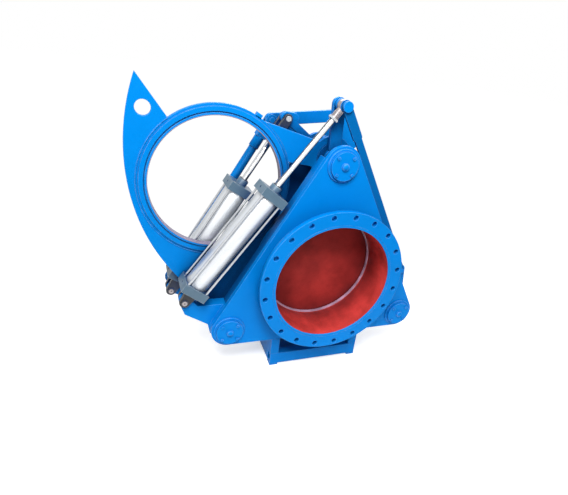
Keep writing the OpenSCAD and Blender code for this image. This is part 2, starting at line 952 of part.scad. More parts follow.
module link_fork() {
    inner = fork_out - fork_t;
    half = tube_r + socket_wall;
    difference() {
        union() {
            for (y = [-fork_out, inner])
                slab(y, y + fork_t) {
                    circle(r = half);
                    translate([0, -half]) square([fork_l, half * 2]);
                }
            translate([fork_l - fork_bridge, -fork_out, -half]) cube([fork_bridge, fork_out * 2, half * 2]);
            rod_x(half, fork_l - 1, fork_l + socket_l);
        }
        bar_y([0, 0], link_pin_r + run_gap, -fork_out - 1, fork_out + 1);
        rod_x(tube_r + weld_gap, fork_l, fork_l + socket_l + 1);
    }
}

// Cylinders, drawn along local X from the base pin

module cap_block(x0) {
    translate([x0, -cap_side / 2, -cap_side / 2])
        cube([cap_t, cap_side, cap_side]);
}

module tie_places() {
    for (y = [-tie_off, tie_off], z = [-tie_off, tie_off])
        translate([0, y, z])
            children();
}

module barrel(l) {
    difference() {
        rod_x(barrel_r, barrel_lo, barrel_lo + l);
        rod_x(cyl_bore / 2, barrel_lo - 1, barrel_lo + l + 1);
    }
}

module port(x) {
    translate([x, 0, cap_side / 6])
        cylinder(r = port_r, h = cap_side / 3 + 1);
}

module end_cap() {
    difference() {
        cap_block(cap_lo);
        tie_places() {
            rod_x(tie_r + weld_gap, cap_lo - 1, cap_lo + cap_t + 1);
            rod_x(tie_pocket_r, cap_lo - 1, cap_lo + tie_nut_t);
        }
        port(cap_lo + cap_t / 2);
    }
}

module head_cap(l) {
    x0 = barrel_lo + l;
    difference() {
        union() {
            cap_block(x0);
            rod_x(gland_r, x0 + cap_t, x0 + cap_t + gland_l);
        }
        rod_x(rod_r + run_gap, x0 - 1, x0 + cap_t + gland_l + 1);
        tie_places() {
            rod_x(tie_r + weld_gap, x0 - 1, x0 + cap_t + 1);
            rod_x(tie_pocket_r, x0 + cap_t - tie_nut_t, x0 + cap_t + 1);
        }
        port(x0 + cap_t / 2);
    }
}

module tie_rods(l) {
    x1 = barrel_lo + l + cap_t;
    tie_places() {
        rod_x(tie_r, cap_lo, x1);
        rod_x(tie_r * 1.6, x1 - tie_nut_t, x1, $fn = 6);
        rod_x(tie_r * 1.6, cap_lo, cap_lo + tie_nut_t, $fn = 6);
    }
}

// Two cheeks on the end cap, each with its stub of the base pin
module clevis(l) {
    for (s = [-1, 1]) {
        y0 = s > 0 ? cheek_y : -cheek_y - cheek_t;
        head_y = s > 0 ? cheek_y + cheek_t : -cheek_y - cheek_t - pin_head;
        intersection() {
            slab(y0, y0 + cheek_t) strap([0, 0], lug_r, [l, 0], lug_r + 6);
            translate([-lug_r - 1, -cap_side, -cap_side])
                cube([lug_r + 1 + l, cap_side * 2, cap_side * 2]);
        }
        bar_y([0, 0], base_pin_r, head_y, head_y + pin_head);
    }
}

// Piston and rod, from the piston's face to the thread of the end fitting
module piston_rod(l, tip) {
    x1 = barrel_lo + l - stroke_left;
    rod_x(cyl_bore / 2 - run_gap, x1 - piston_l, x1);
    rod_x(rod_r, x1 - 1, tip);
}

module clamp_frame() { along(clamp_base, clamp_deg, clamp_y) children(); }
module swing_frame() { along(swing_base, swing_cyl_deg, swing_y) children(); }
module swing_body() { swing_frame() translate([swing_clevis_more, 0, 0]) children(); }

module clamp_barrel() { color(STEEL) clamp_frame() barrel(clamp_barrel_l); }
module clamp_head_cap() { color(SLATE) clamp_frame() head_cap(clamp_barrel_l); }
module clamp_end_cap() { color(SLATE) clamp_frame() end_cap(); }
module clamp_tie_rods() { color(STEEL) clamp_frame() tie_rods(clamp_barrel_l); }
module clamp_clevis() { color(BLACK) clamp_frame() clevis(clevis_l); }
module swing_barrel() { color(STEEL) swing_body() barrel(swing_barrel_l); }
module swing_head_cap() { color(SLATE) swing_body() head_cap(swing_barrel_l); }
module swing_end_cap() { color(SLATE) swing_body() end_cap(); }
module swing_tie_rods() { color(STEEL) swing_body() tie_rods(swing_barrel_l); }
module swing_clevis() { color(BLACK) swing_frame() clevis(clevis_l + swing_clevis_more); }

module clamp_rod() {
    color(STEEL) clamp_frame() piston_rod(clamp_barrel_l, clamp_l - eye_shank + thread_l);
}

module clamp_rod_eye() {
    color(STEEL)
        clamp_frame()
            translate([clamp_l, 0, 0])
                difference() {
                    union() {
                        bar_y([0, 0], eye_r, -eye_half, eye_half);
                        rod_x(rod_r + eye_wall, -eye_shank, -link_pin_r - part_gap);
                    }
                    bar_y([0, 0], link_pin_r + run_gap, -eye_half - 1, eye_half + 1);
                    rod_x(rod_r + weld_gap, -eye_shank - 1, -eye_shank + thread_l);
                }
}

module clamp_lock_nut() {
    color(STEEL)
        clamp_frame()
            translate([clamp_l - eye_shank - lock_nut_t, 0, 0])
                difference() {
                    rod_x(rod_r * 1.9, 0, lock_nut_t, $fn = 6);
                    rod_x(rod_r + weld_gap, -1, lock_nut_t + 1);
                }
}

module swing_rod() {
    tip = swing_l - yoke_throat - yoke_bridge + thread_l;
    color(STEEL) swing_body() piston_rod(swing_barrel_l, tip - swing_clevis_more);
}

module swing_yoke() {
    back = yoke_throat + yoke_bridge;
    color(BLACK)
        swing_frame()
            translate([swing_l, 0, 0])
                difference() {
                    union() {
                        for (y = [-yoke_out, yoke_in])
                            slab(y, y + cheek_t) {
                                circle(r = yoke_cheek_r);
                                translate([-back, -yoke_cheek_r]) square([back, yoke_cheek_r * 2]);
                            }
                        translate([-back, -yoke_out, -yoke_cheek_r])
                            cube([yoke_bridge, yoke_out * 2, yoke_cheek_r * 2]);
                    }
                    bar_y([0, 0], swing_pin_r + run_gap, -yoke_out - 1, yoke_out + 1);
                    rod_x(rod_r + weld_gap, -back - 1, -back + thread_l);
                }
}

front_flange();
front_neck();
front_yoke_plate();
front_seat_ring();
front_seal();
front_ribs();
screw_covers();
cover_bolts_set();
screw_bushes();
bracket_plate();
cylinder_bracket();
base_beams();
base_posts();
base_panels();
foot_pads();
rear_flange();
rear_neck();
rear_yoke_plate();
rear_seat_ring();
rear_seal();
rear_ribs();
screw_nuts();
open_ring();
blind_disc();
tail_sector();
neck_arms();
plate_hub();
hub_bush();
swing_arm();
swing_pin();
top_screw();
front_rocker();
rear_rocker();
rocker_pins();
top_end_nut();
left_screw();
left_crank();
left_crank_pin();
left_end_nut();
right_screw();
right_crank();
right_crank_pin();
right_link();
left_link_tube();
left_link_forks();
clamp_barrel();
clamp_head_cap();
clamp_end_cap();
clamp_tie_rods();
clamp_clevis();
clamp_rod();
clamp_rod_eye();
clamp_lock_nut();
swing_barrel();
swing_head_cap();
swing_end_cap();
swing_tie_rods();
swing_clevis();
swing_rod();
swing_yoke();
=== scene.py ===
"""Looks of a sector goggle valve: paint, metal, welds and fittings around the packed solids."""

import json
import math

import bmesh
import bpy
from mathutils import Matrix, Vector


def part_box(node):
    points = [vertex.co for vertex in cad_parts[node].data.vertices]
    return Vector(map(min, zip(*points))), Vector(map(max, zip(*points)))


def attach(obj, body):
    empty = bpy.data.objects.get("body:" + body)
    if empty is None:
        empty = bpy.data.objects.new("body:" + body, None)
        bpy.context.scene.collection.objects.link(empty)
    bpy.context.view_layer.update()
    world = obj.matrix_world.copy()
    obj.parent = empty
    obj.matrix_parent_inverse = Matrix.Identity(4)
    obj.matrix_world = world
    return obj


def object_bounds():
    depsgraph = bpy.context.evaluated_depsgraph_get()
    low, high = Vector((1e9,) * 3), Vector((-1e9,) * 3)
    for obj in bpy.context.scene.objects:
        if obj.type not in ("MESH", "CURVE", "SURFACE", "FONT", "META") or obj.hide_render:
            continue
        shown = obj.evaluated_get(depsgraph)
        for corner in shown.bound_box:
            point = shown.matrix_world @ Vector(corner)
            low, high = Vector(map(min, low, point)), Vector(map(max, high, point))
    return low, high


bl_info = {
    "name": "Sector Goggle Valve",
    "version": (1, 0, 0),
    "blender": (4, 5, 0),
    "location": "3D View > Sidebar > Goggle Valve",
    "description": "Paints and details a pneumatic sector goggle valve",
    "category": "Object",
}

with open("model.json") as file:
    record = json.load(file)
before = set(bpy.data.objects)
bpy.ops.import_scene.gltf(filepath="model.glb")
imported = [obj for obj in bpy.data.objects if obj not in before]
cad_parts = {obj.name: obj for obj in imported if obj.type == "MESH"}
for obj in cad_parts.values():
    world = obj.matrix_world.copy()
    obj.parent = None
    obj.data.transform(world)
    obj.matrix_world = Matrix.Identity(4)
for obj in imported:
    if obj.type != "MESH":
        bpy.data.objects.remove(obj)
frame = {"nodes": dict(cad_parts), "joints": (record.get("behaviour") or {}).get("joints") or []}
CAD_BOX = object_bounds()
NODES = frame["nodes"]
Y = Vector((0, 1, 0))


# Measuring


def middle(node):
    """Centre of a solid's box at rest."""
    low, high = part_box(node)
    return (low + high) / 2


def depth(node):
    """Front and back of a solid along the bore."""
    low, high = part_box(node)
    return low.y, high.y


def rod_way(side):
    """Direction in which a cylinder's rod leaves it."""
    stroke = next(joint for joint in frame["joints"] if joint["name"] == side + "_stroke")
    return Vector(stroke["axis"])


def on_axis(side, node, end):
    """Point on a cylinder's axis at a solid's lower end, which is nought, or its upper, one."""
    way, start = rod_way(side), middle(side + "_barrel")
    reach = sorted(way.dot(vertex.co) for vertex in NODES[node].data.vertices)
    return start + way * (reach[-end] - way.dot(start))


def far_side(side):
    """Direction across a cylinder, away from the light."""
    return tuple(Y.cross(rod_way(side)))


def tilt(node_from, node_to):
    """Angle of a cylinder's axis about the bore's axis."""
    way = middle(node_to) - middle(node_from)
    return math.atan2(way.z, way.x)


def rim_radius():
    """Radius of the open ring's rim."""
    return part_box("open_ring")[1].x - RING.x


# Fixed sizes, in metres

# The two cylinders
SIDES = ("clamp", "swing")
# Wall of the neck pipes, radius of the bore and centre of the open ring
NECK_WALL = 0.01
BORE_R = (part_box("front_neck")[1].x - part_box("front_neck")[0].x) / 2 - NECK_WALL
RING = middle("open_ring")

# Radius and height pairs of turned shapes, from the face that they sit on
WIPER = ((0.0144, 0), (0.0235, 0), (0.0220, 0.004), (0.0160, 0.005), (0.0144, 0.005), (0.0144, 0))
PIN_END = (
    (0, 0.0058),
    (0.0030, 0.0058),
    (0.0038, 0.0072),
    (0.0100, 0.0072),
    (0.0125, 0.0060),
    (0.0125, 0),
    (0, 0),
)
BOSS = ((0.0672, 0), (0.0790, 0), (0.0790, 0.005), (0.0765, 0.0075), (0.0672, 0.0075), (0.0672, 0))
DOME = ((0, 0.0060), (0.0060, 0.0054), (0.0110, 0.0036), (0.0145, 0), (0, 0))
# Distance of a seal's lip from its seat, and the lip's own radius
LIP = 0.012
LIP_R = LIP * 0.8
# Radius of a clevis round its pin, and length of the pin's stub on a cheek
CLEVIS_R = 0.025
STUB = 0.006
# Ring's stop: its direction from the ring's centre, its size and its middle outside the rim
STOP_TURN = math.radians(60)
STOP_SIZE = (0.020, 0.022, 0.030)
STOP_OUT = 0.004
# Swing arm's gusset: distances from the swing pin along the arm and off its axis, and the share
# of the arm's thickness by which each side is set in
GUSSET = ((0.024, 0.015), (0.024, 0.036), (0.060, 0.041), (0.140, 0.030), (0.152, 0.015))
GUSSET_INSET = 0.1
# Arc of the ring's rim that is welded to the tail, and its bead as a share of the others
TAIL_START = math.radians(127)
TAIL_TURN = math.radians(191)
TAIL_BEAD = 0.5

# Steps round turned shapes, sides of a bead and steps of a rounded edge
FITTING_STEPS = 40
COVER_STEPS = 64
TAIL_STEPS = 96
BORE_STEPS = 180
BEAD_SIDES = 8
EDGE_STEPS = 2
# Least angle of a sharp edge, most angle of a flat one, and distances of points that are one
SHARP = math.radians(40)
FLAT = math.radians(0.3)
SAME_POINT = 0.00001
SAME_VERTEX = 0.000001

# Painted shade in the gaps of painted pieces, of those in the open and of those about the bore
GAP_SHADE = 0.92
OPEN_SHADE = 0.25
BORE_SHADE = 0.35
# Skin and gloss of the blue enamel, and of the pieces with two coats
BLUE_FINISH = {"bump": 0.22, "gloss": 0.07}
BORE_FINISH = {"bump": 0.24, "gloss": 0.08}
# How far the inner coat reaches past the bore's radius, and the painted shadow in the groove
# outside
# that edge: its inner and outer distance and its tone
INNER_OVER = 0.0012
GROOVE = (0.0102, 0.0154)
GROOVE_SHADOW_TONE = 0.3
# Tone of the painted dark reflection and shade on bright metal, its share as painted shade on each
# rod's far side from the light, and its share as painted reflection on each rod's edges
PAINTED_DARK_REFLECTION = (0.02, 0.045, 0.06, 1)
ROD_SHADE = {"clamp": 0.35, "swing": 0.95}
ROD_RIM_REFLECTION = {"clamp": 0.95, "swing": 0.35}

# Place and size of each lamp, and the point that all of them face
LAMPS = {
    "key": ((-1.0, -1.9, 3.0), 1.6),
    "fill": ((2.6, -1.8, 1.0), 2.0),
    "back": ((0.9, 3.0, 2.2), 2.0),
}
LAMP_AIM = Vector((-0.1, 0.2, 0.1))
# Floor: its half width, its gap below the valve, where it fades, and its glow near and far
FLOOR_HALF = 30
FLOOR_GAP = 0.0005
FLOOR_FADE = (1.0, 2.2)
FLOOR_GLOW = (0.55, 1.02)
# Camera: its place and axes, its focal length and width in pixels, and its sensor in millimetres
CAMERA_PLACE = (-0.8916, -1.5948, 1.0066)
CAMERA_RIGHT = Vector((0.9451, -0.3117, 0.0986))
CAMERA_UP = Vector((0.0474, 0.4290, 0.9021))
CAMERA_AHEAD = Vector((0.3234, 0.8478, -0.4202))
FOCAL_PIXELS = 420
WIDTH_PIXELS = 568
SENSOR = 36.0


# Settings


def colour_setting(name, description, default):
    """A colour that a user can change."""
    return bpy.props.FloatVectorProperty(
        name=name, description=description, default=default, subtype="COLOR", size=3, min=0, max=1
    )


def length_setting(name, description, default):
    """A length that a user can change."""
    return bpy.props.FloatProperty(
        name=name, description=description, default=default, unit="LENGTH", min=0, precision=4
    )


def power_setting(name, description, default):
    """A lamp's power that a user can change."""
    return bpy.props.FloatProperty(
        name=name, description=description, default=default, unit="POWER", min=0
    )


class GoggleValveColours(bpy.types.PropertyGroup):
    """Colours of the paints and metals."""

    blue: colour_setting("Blue enamel", "Paint on plates and linkage", (0.0, 0.235, 0.73))
    red: colour_setting("Red primer", "Primer on the bore and the blind", (0.65, 0.056, 0.050))
    # Painted reflection: the pale lavender of the ring's hole stands for the light that its wall
    # reflects
    worn: colour_setting("Worn primer", "Rubbed primer in the ring's hole", (0.30, 0.26, 0.36))
    slate: colour_setting("Slate enamel", "Paint on the cylinder caps", (0.090, 0.165, 0.235))
    black: colour_setting("Black paint", "Clevises and swing yoke", (0.012, 0.013, 0.015))
    zinc: colour_setting("Zinc plate", "Screws, nuts, tie rods and pins", (0.66, 0.68, 0.70))
    chrome: colour_setting("Hard chrome", "Piston rods", (0.86, 0.87, 0.88))
    aluminium: colour_setting("Drawn aluminium", "Cylinder barrels", (0.85, 0.88, 0.91))
    bronze: colour_setting("Bronze", "Bushes and screw nuts", (0.38, 0.27, 0.17))
    steel: colour_setting("Bare steel", "Rod eye, its thread and pin ends", (0.44, 0.40, 0.40))
    seal: colour_setting("Seal", "Seal rings in the seats", (0.52, 0.33, 0.48))


class GoggleValveSizes(bpy.types.PropertyGroup):
    """Sizes of the details."""

    edge: length_setting("Plate edge", "Rounding of the plates' edges", 0.0022)
    small_edge: length_setting("Fitting edge", "Rounding of the edges of small fittings", 0.0009)
    weld: length_setting("Weld bead", "Radius of the weld beads", 0.006)
    # Pale line along painted edges: partly rubbed paint, partly a painted highlight
    wear: length_setting("Edge wear", "Width of the pale line along painted edges", 0.004)


class GoggleValveStage(bpy.types.PropertyGroup):
    """Light around the valve."""

    key: power_setting("Key lamp", "Power of the main lamp", 165)
    fill: power_setting("Fill lamp", "Power of the side lamp", 10)
    back: power_setting("Back lamp", "Power of the rear lamp", 45)
    sky: bpy.props.FloatProperty(
        name="Sky", description="Strength of the even light", default=0.36, min=0
    )
    floor: colour_setting("Floor", "Colour of the floor", (0.86, 0.86, 0.86))


def colours():
    """The colour settings of the scene."""
    return bpy.context.scene.goggle_valve_colours


def sizes():
    """The size settings of the scene."""
    return bpy.context.scene.goggle_valve_sizes


def stage_settings():
    """The stage settings of the scene."""
    return bpy.context.scene.goggle_valve_stage


# Shader building

FLOAT = "NodeSocketFloat"
COLOUR = "NodeSocketColor"
VECTOR = "NodeSocketVector"
FINISH = (("Colour", COLOUR), ("Roughness", FLOAT), ("Height", FLOAT))


class Graph:
    """Adds nodes to a tree and wires them."""

    def __init__(self, tree):
        self.tree = tree

    def add(self, kind, links=None, **settings):
        """A new node with its settings, and its inputs wired or set by name or number."""
        made = self.tree.nodes.new("ShaderNode" + kind)
        for key, value in settings.items():
            setattr(made, key, value)
        for socket, source in (links or {}).items():
            if isinstance(source, bpy.types.NodeSocket):
                self.tree.links.new(source, made.inputs[socket])
            else:
                made.inputs[socket].default_value = source
        return made

    def place(self):
        """The place on the object."""
        return self.add("TexCoord").outputs["Object"]

    def math(self, operation, a, b=0.0, clamp=False):
        """The result of one sum on two values."""
        return self.add("Math", {0: a, 1: b}, operation=operation, use_clamp=clamp).outputs[0]

    def vector(self, operation, a, b=(0, 0, 0)):
        """The results of one sum on two vectors."""
        return self.add("VectorMath", {0: a, 1: b}, operation=operation).outputs

    def mix(self, factor, a, b):
        """Two colours mixed by a factor."""
        return self.add("Mix", {0: factor, 6: a, 7: b}, data_type="RGBA").outputs[2]

    def blend(self, factor, a, b):
        """Two values mixed by a factor."""
        return self.add("Mix", {0: factor, 2: a, 3: b}).outputs[0]

    def ramp(self, value, low, high, to_low=0.0, to_high=1.0):
        """A value moved from one range to another and held inside it."""
        links = {0: value, 1: low, 2: high, 3: to_low, 4: to_high}
        return self.add("MapRange", links, clamp=True).outputs[0]

    def noise(self, place, scale, detail=2.0, rough=0.5):
        """Soft noise around 0.5."""
        links = {"Vector": place, "Scale": scale, "Detail": detail, "Roughness": rough}
        return self.add("TexNoise", links).outputs[0]

    def nearness(self, distance, samples):
        """One in the open, less where other faces lie within a distance."""
        return self.add("AmbientOcclusion", {"Distance": distance}, samples=samples).outputs["AO"]


def shader_group(name, inputs, outputs):
    """A new group with named sockets: its graph, its inputs' sockets and its outputs' sockets."""
    tree = bpy.data.node_groups.new(name, "ShaderNodeTree")
    for label, kind, default in inputs:
        made = tree.interface.new_socket(label, in_out="INPUT", socket_type=kind)
        made.default_value = default
    for label, kind in outputs:
        tree.interface.new_socket(label, in_out="OUTPUT", socket_type=kind)
    given = tree.nodes.new("NodeGroupInput").outputs
    return Graph(tree), given, tree.nodes.new("NodeGroupOutput").inputs


def put_out(graph, sockets, *results):
    """Wires results to a group's outputs, in their order."""
    for result, socket in zip(results, sockets):
        graph.tree.links.new(result, socket)
    return graph.tree


def group_once(build):
    """The group that a function builds, built at its first use."""
    found = bpy.data.node_groups.get(build.__name__)
    return found or build(build.__name__)


def edge_wear(name):
    """Mask of the edges that hands and tools rub, partly rubbed paint and partly a painted
    highlight, broken up by noise.
    """
    graph, given, out = shader_group(
        name,
        [("Width", FLOAT, 0.004), ("Breakup", FLOAT, 30.0)],
        [("Mask", FLOAT)],
    )
    rounded = graph.add("Bevel", {"Radius": given["Width"]}, samples=6).outputs[0]
    normal = graph.add("NewGeometry").outputs["Normal"]
    alike = graph.vector("DOT_PRODUCT", rounded, normal)["Value"]
    bend = graph.ramp(graph.math("SUBTRACT", 1.0, alike), 0.004, 0.12)
    patches = graph.ramp(graph.noise(graph.place(), given["Breakup"], 3.0), 0.30, 0.62)
    return put_out(graph, out, graph.math("MULTIPLY", bend, patches, True))


def bore_mask(name):
    """Mask of what lies within a radius of an axis along the bore, behind the flange's lip."""
    graph, given, out = shader_group(
        name,
        [("Centre", VECTOR, (0, 0, 0)), ("Radius", FLOAT, 0.3), ("Start", FLOAT, 0.007)],
        [("Mask", FLOAT)],
    )
    place = graph.place()
    offset = graph.vector("SUBTRACT", place, given["Centre"])[0]
    flat = graph.vector("MULTIPLY", offset, (1, 0, 1))[0]
    reach = graph.vector("LENGTH", flat)["Value"]
    along = graph.add("SeparateXYZ", {0: place}).outputs["Y"]
    behind = graph.math("GREATER_THAN", along, given["Start"])
    inside = graph.math("LESS_THAN", reach, given["Radius"])
    return put_out(graph, out, graph.math("MULTIPLY", inside, behind))


def paint_coat(name):
    """Sprayed paint: cloudy colour, pale edges partly rubbed and partly painted highlight, painted
    shade in corners and gaps, and its skin.
    """
    graph, given, out = shader_group(
        name,
        [
            ("Colour", COLOUR, (0.5, 0.5, 0.5, 1)),
            ("Shade", COLOUR, (0.3, 0.3, 0.3, 1)),
            ("Edge", COLOUR, (0.8, 0.8, 0.8, 1)),
            # Colour and share of the painted shade in gaps
            ("Grime", COLOUR, (0.002, 0.027, 0.115, 1)),
            ("Dirt", FLOAT, GAP_SHADE),
            ("Clouds", FLOAT, 4.0),
            ("Cloudiness", FLOAT, 0.35),
            ("Wear", FLOAT, 0.5),
            ("Width", FLOAT, 0.004),
            ("Skin", FLOAT, 260.0),
            ("Sheen", FLOAT, 0.4),
        ],
        FINISH,
    )
    place = graph.place()
    clouds = graph.ramp(graph.noise(place, given["Clouds"], 5.0, 0.6), 0.36, 0.70)
    cloudy = graph.math("MULTIPLY", clouds, given["Cloudiness"])
    body = graph.mix(cloudy, given["Colour"], given["Shade"])
    speck = graph.ramp(graph.noise(place, 420.0, 1.0), 0.66, 0.74)
    body = graph.mix(graph.math("MULTIPLY", speck, 0.16), body, given["Shade"])
    # Pale edges: partly rubbed paint, partly a painted highlight
    wear = graph.add("Group", {"Width": given["Width"]}, node_tree=group_once(edge_wear))
    worn = graph.math("MULTIPLY", wear.outputs["Mask"], given["Wear"])
    body = graph.mix(worn, body, given["Edge"])
    # Painted shade: the coat darkens towards its dark tone in corners
    corner = graph.ramp(graph.nearness(0.035, 6), 0.15, 0.65, 0.45, 0.0)
    body = graph.mix(corner, body, given["Shade"])
    # Painted shade: darker towards the shadow colour where other faces lie within 0.35 m
    gap = graph.ramp(graph.nearness(0.35, 10), 0.28, 0.76, 1.0, 0.0)
    body = graph.mix(graph.math("MULTIPLY", gap, given["Dirt"]), body, given["Grime"])
    runs = graph.noise(place, 18.0, 4.0)
    sheen = graph.math("ADD", given["Sheen"], graph.ramp(runs, 0.3, 0.7, -0.08, 0.10))
    skin = graph.math("MULTIPLY", graph.noise(place, given["Skin"]), 0.5)
    height = graph.math("ADD", skin, graph.math("MULTIPLY", runs, 0.8))
    return put_out(graph, out, body, sheen, height)


def metal_skin(name):
    """Bare or plated metal: streaks along one axis, cloudy patches and painted shade in corners."""
    graph, given, out = shader_group(
        name,
        [
            ("Colour", COLOUR, (0.7, 0.7, 0.7, 1)),
            ("Shade", COLOUR, (0.4, 0.4, 0.4, 1)),
            ("Place", VECTOR, (0, 0, 0)),
            ("Clouds", FLOAT, 8.0),
            ("Cloudiness", FLOAT, 0.3),
            ("Polish", FLOAT, 0.3),
        ],
        FINISH,
    )
    clouds = graph.ramp(graph.noise(graph.place(), given["Clouds"], 4.0, 0.6), 0.35, 0.72)
    streaks = graph.noise(given["Place"], 1.0, 3.0, 0.6)
    cloudy = graph.math("MULTIPLY", clouds, given["Cloudiness"])
    body = graph.mix(cloudy, given["Colour"], given["Shade"])
    body = graph.mix(graph.ramp(streaks, 0.45, 0.8, 0.0, 0.35), body, given["Shade"])
    # Painted shade: the metal darkens where other faces lie close
    corner = graph.ramp(graph.nearness(0.012, 6), 0.1, 0.6, 0.55, 0.0)
    body = graph.mix(corner, body, (0.03, 0.028, 0.026, 1))
    rough = graph.math("ADD", given["Polish"], graph.ramp(streaks, 0.3, 0.75, -0.05, 0.12))
    rough = graph.math("ADD", rough, graph.math("MULTIPLY", clouds, 0.08))
    return put_out(graph, out, body, rough, streaks)


# Materials


def solid(colour, factor=1.0):
    """A colour, or a darker one, as four numbers."""
    return (*(min(1.0, part * factor) for part in colour), 1.0)


def paler(colour, share):
    """A colour moved towards white."""
    return (*(part + (1.0 - part) * share for part in colour), 1.0)


def new_material(name):
    """An empty material: its graph, its shader and itself."""
    made = bpy.data.materials.new(name)
    made.use_nodes = True
    made.node_tree.nodes.clear()
    graph = Graph(made.node_tree)
    shader = graph.add("BsdfPrincipled")
    output = graph.add("OutputMaterial")
    made.node_tree.links.new(shader.outputs[0], output.inputs[0])
    return graph, shader, made


def material_once(build):
    """The material that a function builds, built at its first use."""
    name = build.__name__.replace("_", " ")
    return bpy.data.materials.get(name) or build(name)


def coat_node(graph, colour, dark, pale, **values):
    """One coat of paint in a material, with the shares that its patches darken and edges pale."""
    given = {"Colour": solid(colour), "Shade": solid(colour, dark), "Edge": paler(colour, pale)}
    given["Width"] = sizes().wear
    given.update({key.title(): value for key, value in values.items()})
    return graph.add("Group", given, node_tree=group_once(paint_coat)).outputs


def blue_coat(graph, dirt=GAP_SHADE, share=1.0):
    """The blue enamel or a share of its brightness, with painted shade in its gaps."""
    blue = [part * share for part in colours().blue]
    look = {"clouds": 3.2, "cloudiness": 0.22, "wear": 0.62, "sheen": 0.34}
    return coat_node(graph, blue, 0.55, 0.30, dirt=dirt, **look)


def red_coat(graph, share=1.0):
    """The red primer, or a share of its brightness."""
    red = [part * share for part in colours().red]
    look = {"clouds": 8.0, "cloudiness": 0.75, "wear": 0.35, "sheen": 0.46, "skin": 340.0}
    # Painted shade: the red darkens towards a dark red in the bore's gaps
    return coat_node(graph, red, 0.40, 0.18, dirt=0.65, grime=(0.035, 0.010, 0.014, 1), **look)


def worn_coat(graph):
    """Pale lavender in the ring's hole, a painted reflection."""
    look = {"clouds": 9.0, "cloudiness": 0.7, "wear": 0.6, "sheen": 0.40}
    # Painted reflection in pale lavender, with painted shade in its gaps
    return coat_node(graph, colours().worn, 0.5, 0.4, dirt=BORE_SHADE, **look)


def slate_coat(graph):
    """The slate grey enamel."""
    return coat_node(graph, colours().slate, 0.5, 0.45, wear=0.75, sheen=0.36, clouds=9.0)


def black_coat(graph):
    """The black paint."""
    return coat_node(graph, colours().black, 0.4, 0.25, wear=0.8, sheen=0.38, clouds=12.0)


def wire_paint(graph, shader, colour, roughness, height, bump, gloss=0.5):
    """Wires a finish to the shader."""
    shader.inputs["Specular IOR Level"].default_value = gloss
    relief = {"Strength": bump, "Distance": 0.0006, "Height": height}
    raised = graph.add("Bump", relief).outputs[0]
    for socket, source in (("Base Color", colour), ("Roughness", roughness), ("Normal", raised)):
        graph.tree.links.new(source, shader.inputs[socket])


def plain_paint(name, coat, **finish):
    """A material of one coat."""
    graph, shader, made = new_material(name)
    done = coat(graph)
    wire_paint(graph, shader, done["Colour"], done["Roughness"], done["Height"], **finish)
    return made


def blue_enamel(name):
    """Blue enamel all over, with painted shade in gaps."""
    return plain_paint(name, blue_coat, **BLUE_FINISH)


def open_enamel(name):
    """Blue enamel of plates that stand in the open, with less painted shade in gaps."""
    return plain_paint(name, lambda graph: blue_coat(graph, OPEN_SHADE), **BLUE_FINISH)


def dull_enamel(name):
    """Darker copy of the blue enamel on the right link, as painted shade, with less painted shade
    in its gaps.
    """
    return plain_paint(name, lambda graph: blue_coat(graph, dirt=0.6, share=0.55), **BLUE_FINISH)


def slate_enamel(name):
    """Slate grey enamel of the cylinder caps."""
    return plain_paint(name, slate_coat, bump=0.18)


def black_paint(name):
    """Black paint of the clevises and the swing yoke."""
    return plain_paint(name, black_coat, bump=0.25)


def within(graph, centre, radius):
    """Mask of what lies within a radius of an axis along the bore."""
    given = {"Centre": centre, "Radius": radius}
    return graph.add("Group", given, node_tree=group_once(bore_mask)).outputs["Mask"]


def two_coats(name, centre, coat, dirt=GAP_SHADE, groove=0.0):
    """Blue enamel outside, another coat in the bore's width about an axis, and a painted shadow in
    the groove.
    """
    graph, shader, made = new_material(name)
    radius = BORE_R + INNER_OVER
    blue, inner = blue_coat(graph, dirt), coat(graph)
    mask = within(graph, centre, radius)
    start, end = (within(graph, centre, radius + distance) for distance in GROOVE)
    # Painted shadow: a dark line in the groove outside the inner coat
    line = graph.math("MULTIPLY", graph.math("SUBTRACT", end, start), groove)
    outer = graph.mix(line, blue["Colour"], solid(colours().blue, GROOVE_SHADOW_TONE))
    colour = graph.mix(mask, outer, inner["Colour"])
    roughness = graph.blend(mask, blue["Roughness"], inner["Roughness"])
    height = graph.blend(mask, blue["Height"], inner["Height"])
    wire_paint(graph, shader, colour, roughness, height, **BORE_FINISH)
    return made


def bore_paint(name):
    """Red in the bore, blue outside it."""
    return two_coats(name, (0, 0, 0), red_coat, dirt=BORE_SHADE)


def blind_paint(name):
    """Duller red on the blind, blue outside it."""
    return two_coats(name, (0, 0, 0), lambda graph: red_coat(graph, 0.8))


def ring_paint(name):
    """A painted reflection in the ring's hole, blue with a painted shadow in the groove outside it.
    """
    return two_coats(name, tuple(RING), worn_coat, groove=0.75)


